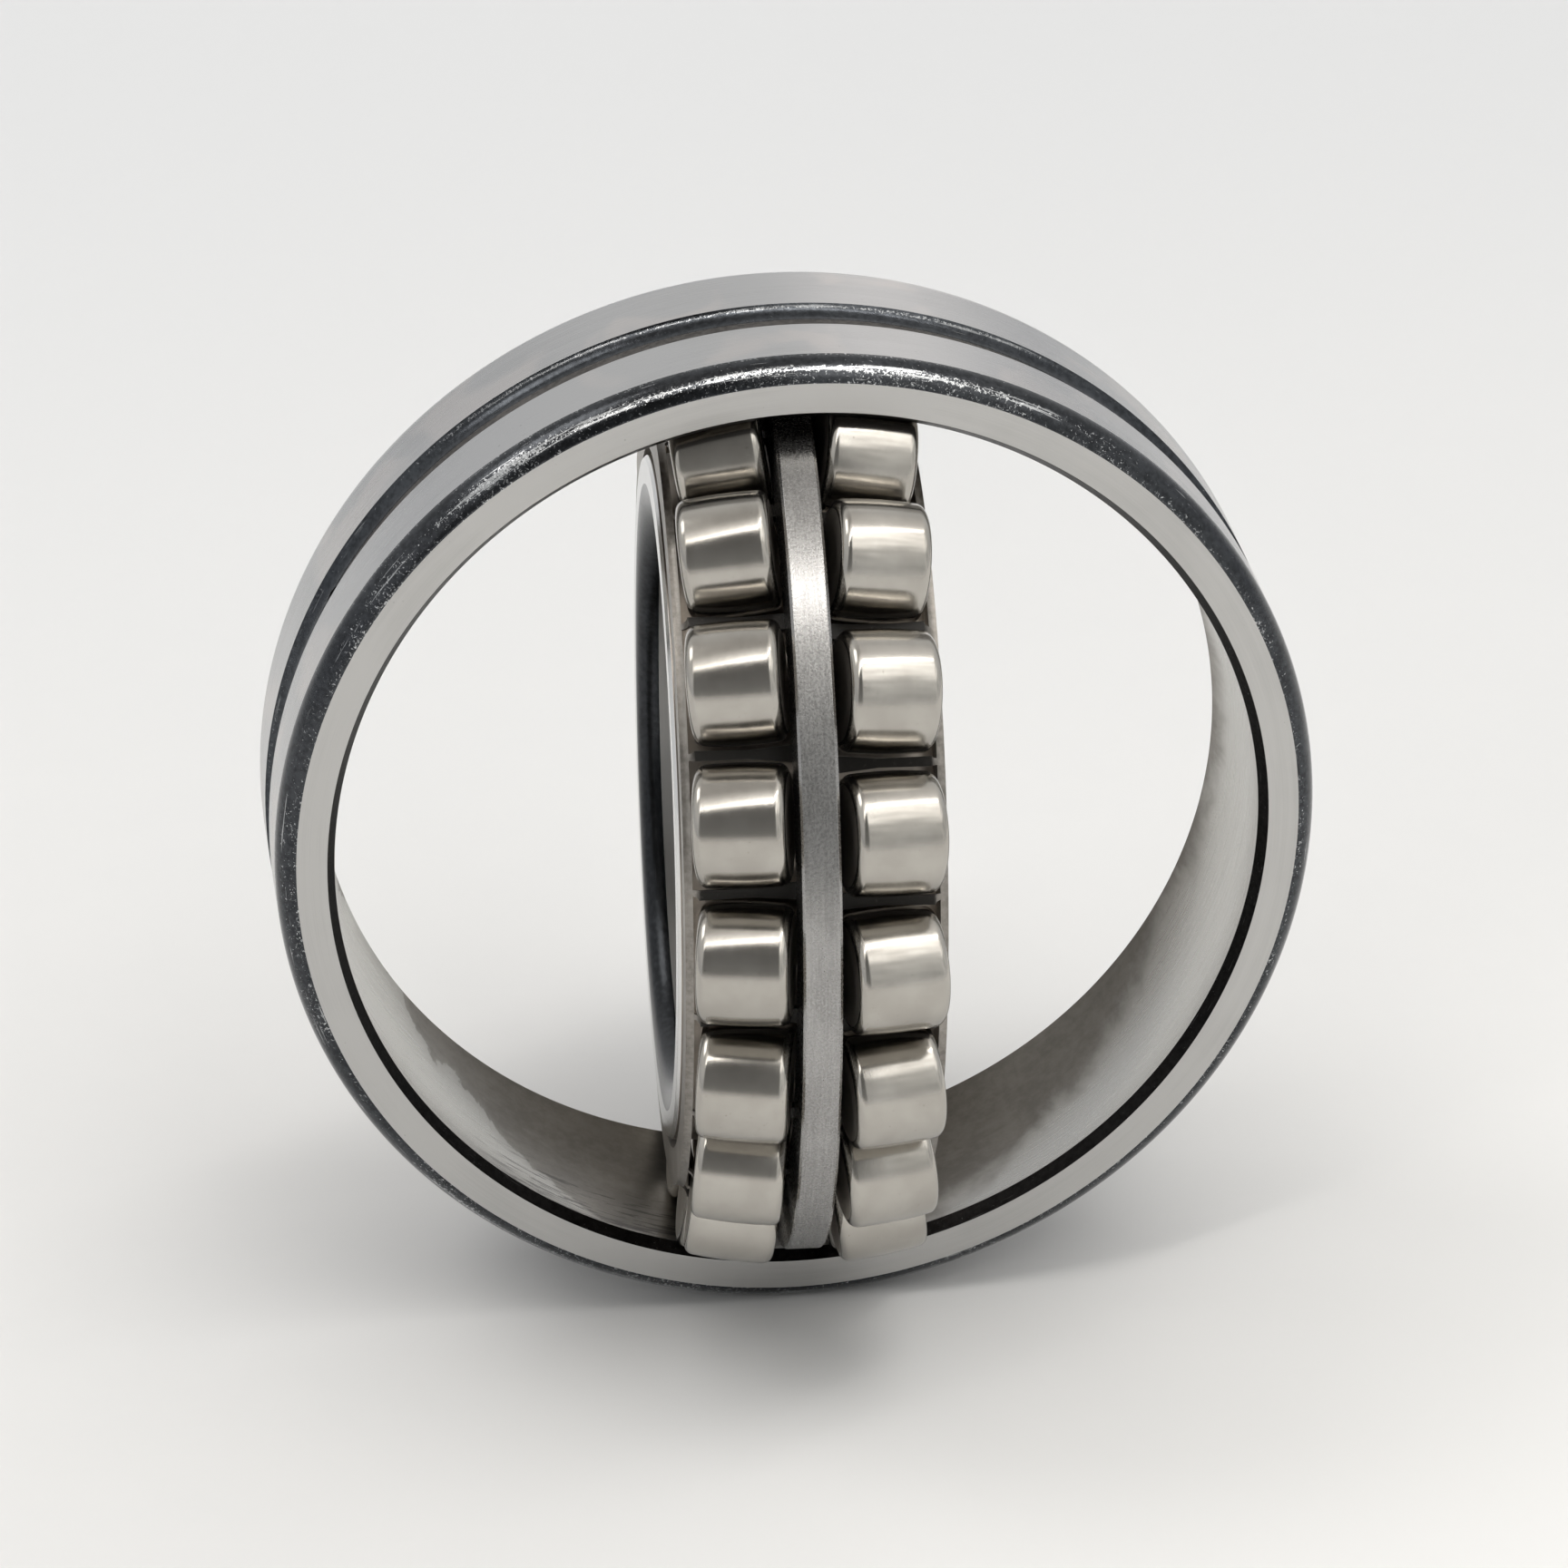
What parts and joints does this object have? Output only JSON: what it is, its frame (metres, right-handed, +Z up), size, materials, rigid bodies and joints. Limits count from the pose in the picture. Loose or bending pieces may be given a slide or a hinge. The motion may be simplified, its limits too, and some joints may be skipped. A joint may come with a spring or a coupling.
{
  "type": "spherical roller bearing",
  "caption": "Self-aligning double-row roller bearing: spherical outer ring with oil groove, barrel rollers in window cages, guide ring, and cylindrical-bore inner ring swivelled out.",
  "frame": {"origin": "centre of the outer ring's spherical raceway, which is also the point about which the inner set swivels", "axes": "+Y along the outer ring's axis, +Z up, the outer ring standing on its rim; at rest the inner ring's axis is turned 86.7 degrees from +Y about +Z"},
  "size_m": [0.16, 0.1459, 0.16],
  "materials": {
    "outer_ring_steel": "ground outside and side faces, black oxide edges and groove, honed raceway",
    "inner_ring_steel": "ground bore and side faces, black oxide bore edges, honed raceways",
    "guide_ring_iron": "matte sintered iron, lightly mottled",
    "cage_steel": "dull phosphated sheet steel",
    "roller_steel": "polished bearing steel"
  },
  "bodies": {
    "outer": {"outer_ring": "outer_ring_steel"},
    "guide": {"guide_ring": "guide_ring_iron"},
    "inner": {"inner_ring": "inner_ring_steel"},
    "cage_left": {"cage_left": "cage_steel"},
    "cage_right": {"cage_right": "cage_steel"},
    "roller_left_01": {"roller_left_01": "roller_steel"},
    "roller_left_02": {"roller_left_02": "roller_steel"},
    "roller_left_03": {"roller_left_03": "roller_steel"},
    "roller_left_04": {"roller_left_04": "roller_steel"},
    "roller_left_05": {"roller_left_05": "roller_steel"},
    "roller_left_06": {"roller_left_06": "roller_steel"},
    "roller_left_07": {"roller_left_07": "roller_steel"},
    "roller_left_08": {"roller_left_08": "roller_steel"},
    "roller_left_09": {"roller_left_09": "roller_steel"},
    "roller_left_10": {"roller_left_10": "roller_steel"},
    "roller_left_11": {"roller_left_11": "roller_steel"},
    "roller_left_12": {"roller_left_12": "roller_steel"},
    "roller_left_13": {"roller_left_13": "roller_steel"},
    "roller_left_14": {"roller_left_14": "roller_steel"},
    "roller_left_15": {"roller_left_15": "roller_steel"},
    "roller_left_16": {"roller_left_16": "roller_steel"},
    "roller_left_17": {"roller_left_17": "roller_steel"},
    "roller_left_18": {"roller_left_18": "roller_steel"},
    "roller_left_19": {"roller_left_19": "roller_steel"},
    "roller_right_01": {"roller_right_01": "roller_steel"},
    "roller_right_02": {"roller_right_02": "roller_steel"},
    "roller_right_03": {"roller_right_03": "roller_steel"},
    "roller_right_04": {"roller_right_04": "roller_steel"},
    "roller_right_05": {"roller_right_05": "roller_steel"},
    "roller_right_06": {"roller_right_06": "roller_steel"},
    "roller_right_07": {"roller_right_07": "roller_steel"},
    "roller_right_08": {"roller_right_08": "roller_steel"},
    "roller_right_09": {"roller_right_09": "roller_steel"},
    "roller_right_10": {"roller_right_10": "roller_steel"},
    "roller_right_11": {"roller_right_11": "roller_steel"},
    "roller_right_12": {"roller_right_12": "roller_steel"},
    "roller_right_13": {"roller_right_13": "roller_steel"},
    "roller_right_14": {"roller_right_14": "roller_steel"},
    "roller_right_15": {"roller_right_15": "roller_steel"},
    "roller_right_16": {"roller_right_16": "roller_steel"},
    "roller_right_17": {"roller_right_17": "roller_steel"},
    "roller_right_18": {"roller_right_18": "roller_steel"},
    "roller_right_19": {"roller_right_19": "roller_steel"}
  },
  "joints": [
    {"name": "swivel", "type": "hinge", "parent": "outer", "child": "guide", "pos_m": [0, 0, 0], "axis": [0, 0, 1], "range_deg": [-88.2, 94.8]},
    {"name": "shaft_spin", "type": "hinge", "parent": "guide", "child": "inner", "pos_m": [0, 0, 0], "axis": [-0.9983, 0.0576, 0], "continuous": true},
    {"name": "cage_left_spin", "type": "hinge", "parent": "guide", "child": "cage_left", "pos_m": [0, 0, 0], "axis": [-0.9983, 0.0576, 0], "continuous": true},
    {"name": "cage_right_spin", "type": "hinge", "parent": "guide", "child": "cage_right", "pos_m": [0, 0, 0], "axis": [-0.9983, 0.0576, 0], "continuous": true},
    {"name": "roller_left_01_spin", "type": "hinge", "parent": "cage_left", "child": "roller_left_01", "pos_m": [-0.01401, -0.05757, 0.02414], "axis": [-0.9755, 0.2106, -0.0638], "continuous": true},
    {"name": "roller_left_02_spin", "type": "hinge", "parent": "cage_left", "child": "roller_left_02", "pos_m": [-0.01428, -0.06224, 0.00391], "axis": [-0.9748, 0.2229, -0.0103], "continuous": true},
    {"name": "roller_left_03_spin", "type": "hinge", "parent": "cage_left", "child": "roller_left_03", "pos_m": [-0.01415, -0.06011, -0.01675], "axis": [-0.9751, 0.2173, 0.0443], "continuous": true},
    {"name": "roller_left_04_spin", "type": "hinge", "parent": "cage_left", "child": "roller_left_04", "pos_m": [-0.01365, -0.05139, -0.03559], "axis": [-0.9764, 0.1942, 0.0941], "continuous": true},
    {"name": "roller_left_05_spin", "type": "hinge", "parent": "cage_left", "child": "roller_left_05", "pos_m": [-0.01282, -0.03703, -0.05057], "axis": [-0.9786, 0.1563, 0.1337], "continuous": true},
    {"name": "roller_left_06_spin", "type": "hinge", "parent": "cage_left", "child": "roller_left_06", "pos_m": [-0.01176, -0.0186, -0.06008], "axis": [-0.9814, 0.1076, 0.1588], "continuous": true},
    {"name": "roller_left_07_spin", "type": "hinge", "parent": "cage_left", "child": "roller_left_07", "pos_m": [-0.01058, 0.00192, -0.06307], "axis": [-0.9846, 0.0533, 0.1667], "continuous": true},
    {"name": "roller_left_08_spin", "type": "hinge", "parent": "cage_left", "child": "roller_left_08", "pos_m": [-0.0094, 0.02229, -0.05923], "axis": [-0.9877, -0.0005, 0.1566], "continuous": true},
    {"name": "roller_left_09_spin", "type": "hinge", "parent": "cage_left", "child": "roller_left_09", "pos_m": [-0.00836, 0.04032, -0.04897], "axis": [-0.9904, -0.0482, 0.1295], "continuous": true},
    {"name": "roller_left_10_spin", "type": "hinge", "parent": "cage_left", "child": "roller_left_10", "pos_m": [-0.00757, 0.05404, -0.0334], "axis": [-0.9925, -0.0845, 0.0883], "continuous": true},
    {"name": "roller_left_11_spin", "type": "hinge", "parent": "cage_left", "child": "roller_left_11", "pos_m": [-0.00711, 0.06197, -0.01422], "axis": [-0.9937, -0.1054, 0.0376], "continuous": true},
    {"name": "roller_left_12_spin", "type": "hinge", "parent": "cage_left", "child": "roller_left_12", "pos_m": [-0.00704, 0.06326, 0.00651], "axis": [-0.9939, -0.1088, -0.0172], "continuous": true},
    {"name": "roller_left_13_spin", "type": "hinge", "parent": "cage_left", "child": "roller_left_13", "pos_m": [-0.00736, 0.05775, 0.02653], "axis": [-0.9931, -0.0943, -0.0701], "continuous": true},
    {"name": "roller_left_14_spin", "type": "hinge", "parent": "cage_left", "child": "roller_left_14", "pos_m": [-0.00803, 0.04606, 0.04368], "axis": [-0.9913, -0.0634, -0.1155], "continuous": true},
    {"name": "roller_left_15_spin", "type": "hinge", "parent": "cage_left", "child": "roller_left_15", "pos_m": [-0.00899, 0.02944, 0.05609], "axis": [-0.9888, -0.0194, -0.1483], "continuous": true},
    {"name": "roller_left_16_spin", "type": "hinge", "parent": "cage_left", "child": "roller_left_16", "pos_m": [-0.01013, 0.00969, 0.06242], "axis": [-0.9857, 0.0328, -0.165], "continuous": true},
    {"name": "roller_left_17_spin", "type": "hinge", "parent": "cage_left", "child": "roller_left_17", "pos_m": [-0.01132, -0.01103, 0.062], "axis": [-0.9826, 0.0875, -0.1639], "continuous": true},
    {"name": "roller_left_18_spin", "type": "hinge", "parent": "cage_left", "child": "roller_left_18", "pos_m": [-0.01245, -0.0305, 0.05485], "axis": [-0.9796, 0.139, -0.145], "continuous": true},
    {"name": "roller_left_19_spin", "type": "hinge", "parent": "cage_left", "child": "roller_left_19", "pos_m": [-0.01337, -0.04659, 0.04176], "axis": [-0.9772, 0.1816, -0.1104], "continuous": true},
    {"name": "roller_right_01_spin", "type": "hinge", "parent": "cage_right", "child": "roller_right_01", "pos_m": [0.00726, -0.05953, 0.0223], "axis": [-0.9933, -0.099, 0.0589], "continuous": true},
    {"name": "roller_right_02_spin", "type": "hinge", "parent": "cage_right", "child": "roller_right_02", "pos_m": [0.00702, -0.06356, 0.00193], "axis": [-0.994, -0.1097, 0.0051], "continuous": true},
    {"name": "roller_right_03_spin", "type": "hinge", "parent": "cage_right", "child": "roller_right_03", "pos_m": [0.00718, -0.06078, -0.01865], "axis": [-0.9935, -0.1023, -0.0493], "continuous": true},
    {"name": "roller_right_04_spin", "type": "hinge", "parent": "cage_right", "child": "roller_right_04", "pos_m": [0.00772, -0.05147, -0.03721], "axis": [-0.9921, -0.0777, -0.0984], "continuous": true},
    {"name": "roller_right_05_spin", "type": "hinge", "parent": "cage_right", "child": "roller_right_05", "pos_m": [0.00857, -0.03666, -0.05173], "axis": [-0.9899, -0.0385, -0.1368], "continuous": true},
    {"name": "roller_right_06_spin", "type": "hinge", "parent": "cage_right", "child": "roller_right_06", "pos_m": [0.00965, -0.01793, -0.06065], "axis": [-0.987, 0.011, -0.1603], "continuous": true},
    {"name": "roller_right_07_spin", "type": "hinge", "parent": "cage_right", "child": "roller_right_07", "pos_m": [0.01084, 0.00266, -0.063], "axis": [-0.9839, 0.0654, -0.1665], "continuous": true},
    {"name": "roller_right_08_spin", "type": "hinge", "parent": "cage_right", "child": "roller_right_08", "pos_m": [0.01201, 0.02291, -0.05852], "axis": [-0.9808, 0.1189, -0.1547], "continuous": true},
    {"name": "roller_right_09_spin", "type": "hinge", "parent": "cage_right", "child": "roller_right_09", "pos_m": [0.01303, 0.0406, -0.0477], "axis": [-0.9781, 0.1657, -0.1261], "continuous": true},
    {"name": "roller_right_10_spin", "type": "hinge", "parent": "cage_right", "child": "roller_right_10", "pos_m": [0.01379, 0.05383, -0.03171], "axis": [-0.9761, 0.2007, -0.0838], "continuous": true},
    {"name": "roller_right_11_spin", "type": "hinge", "parent": "cage_right", "child": "roller_right_11", "pos_m": [0.01421, 0.06116, -0.01228], "axis": [-0.9749, 0.2201, -0.0325], "continuous": true},
    {"name": "roller_right_12_spin", "type": "hinge", "parent": "cage_right", "child": "roller_right_12", "pos_m": [0.01425, 0.06179, 0.00848], "axis": [-0.9748, 0.2217, 0.0224], "continuous": true},
    {"name": "roller_right_13_spin", "type": "hinge", "parent": "cage_right", "child": "roller_right_13", "pos_m": [0.0139, 0.05567, 0.02831], "axis": [-0.9758, 0.2055, 0.0749], "continuous": true},
    {"name": "roller_right_14_spin", "type": "hinge", "parent": "cage_right", "child": "roller_right_14", "pos_m": [0.01319, 0.04344, 0.04508], "axis": [-0.9776, 0.1732, 0.1192], "continuous": true},
    {"name": "roller_right_15_spin", "type": "hinge", "parent": "cage_right", "child": "roller_right_15", "pos_m": [0.01221, 0.02644, 0.05697], "axis": [-0.9802, 0.1283, 0.1506], "continuous": true},
    {"name": "roller_right_16_spin", "type": "hinge", "parent": "cage_right", "child": "roller_right_16", "pos_m": [0.01106, 0.0065, 0.06268], "axis": [-0.9833, 0.0756, 0.1657], "continuous": true},
    {"name": "roller_right_17_spin", "type": "hinge", "parent": "cage_right", "child": "roller_right_17", "pos_m": [0.00987, -0.0142, 0.0616], "axis": [-0.9864, 0.0208, 0.1628], "continuous": true},
    {"name": "roller_right_18_spin", "type": "hinge", "parent": "cage_right", "child": "roller_right_18", "pos_m": [0.00876, -0.03343, 0.05384], "axis": [-0.9894, -0.03, 0.1423], "continuous": true},
    {"name": "roller_right_19_spin", "type": "hinge", "parent": "cage_right", "child": "roller_right_19", "pos_m": [0.00786, -0.04911, 0.04025], "axis": [-0.9918, -0.0714, 0.1064], "continuous": true}
  ],
  "couplings": [
    {"joint": "cage_left_spin", "follows": "shaft_spin", "ratio": 0.4281},
    {"joint": "cage_right_spin", "follows": "shaft_spin", "ratio": 0.4281},
    {"joint": "roller_left_01_spin", "follows": "shaft_spin", "ratio": -3.3576},
    {"joint": "roller_left_02_spin", "follows": "shaft_spin", "ratio": -3.3576},
    {"joint": "roller_left_03_spin", "follows": "shaft_spin", "ratio": -3.3576},
    {"joint": "roller_left_04_spin", "follows": "shaft_spin", "ratio": -3.3576},
    {"joint": "roller_left_05_spin", "follows": "shaft_spin", "ratio": -3.3576},
    {"joint": "roller_left_06_spin", "follows": "shaft_spin", "ratio": -3.3576},
    {"joint": "roller_left_07_spin", "follows": "shaft_spin", "ratio": -3.3576},
    {"joint": "roller_left_08_spin", "follows": "shaft_spin", "ratio": -3.3576},
    {"joint": "roller_left_09_spin", "follows": "shaft_spin", "ratio": -3.3576},
    {"joint": "roller_left_10_spin", "follows": "shaft_spin", "ratio": -3.3576},
    {"joint": "roller_left_11_spin", "follows": "shaft_spin", "ratio": -3.3576},
    {"joint": "roller_left_12_spin", "follows": "shaft_spin", "ratio": -3.3576},
    {"joint": "roller_left_13_spin", "follows": "shaft_spin", "ratio": -3.3576},
    {"joint": "roller_left_14_spin", "follows": "shaft_spin", "ratio": -3.3576},
    {"joint": "roller_left_15_spin", "follows": "shaft_spin", "ratio": -3.3576},
    {"joint": "roller_left_16_spin", "follows": "shaft_spin", "ratio": -3.3576},
    {"joint": "roller_left_17_spin", "follows": "shaft_spin", "ratio": -3.3576},
    {"joint": "roller_left_18_spin", "follows": "shaft_spin", "ratio": -3.3576},
    {"joint": "roller_left_19_spin", "follows": "shaft_spin", "ratio": -3.3576},
    {"joint": "roller_right_01_spin", "follows": "shaft_spin", "ratio": -3.3576},
    {"joint": "roller_right_02_spin", "follows": "shaft_spin", "ratio": -3.3576},
    {"joint": "roller_right_03_spin", "follows": "shaft_spin", "ratio": -3.3576},
    {"joint": "roller_right_04_spin", "follows": "shaft_spin", "ratio": -3.3576},
    {"joint": "roller_right_05_spin", "follows": "shaft_spin", "ratio": -3.3576},
    {"joint": "roller_right_06_spin", "follows": "shaft_spin", "ratio": -3.3576},
    {"joint": "roller_right_07_spin", "follows": "shaft_spin", "ratio": -3.3576},
    {"joint": "roller_right_08_spin", "follows": "shaft_spin", "ratio": -3.3576},
    {"joint": "roller_right_09_spin", "follows": "shaft_spin", "ratio": -3.3576},
    {"joint": "roller_right_10_spin", "follows": "shaft_spin", "ratio": -3.3576},
    {"joint": "roller_right_11_spin", "follows": "shaft_spin", "ratio": -3.3576},
    {"joint": "roller_right_12_spin", "follows": "shaft_spin", "ratio": -3.3576},
    {"joint": "roller_right_13_spin", "follows": "shaft_spin", "ratio": -3.3576},
    {"joint": "roller_right_14_spin", "follows": "shaft_spin", "ratio": -3.3576},
    {"joint": "roller_right_15_spin", "follows": "shaft_spin", "ratio": -3.3576},
    {"joint": "roller_right_16_spin", "follows": "shaft_spin", "ratio": -3.3576},
    {"joint": "roller_right_17_spin", "follows": "shaft_spin", "ratio": -3.3576},
    {"joint": "roller_right_18_spin", "follows": "shaft_spin", "ratio": -3.3576},
    {"joint": "roller_right_19_spin", "follows": "shaft_spin", "ratio": -3.3576}
  ]
}
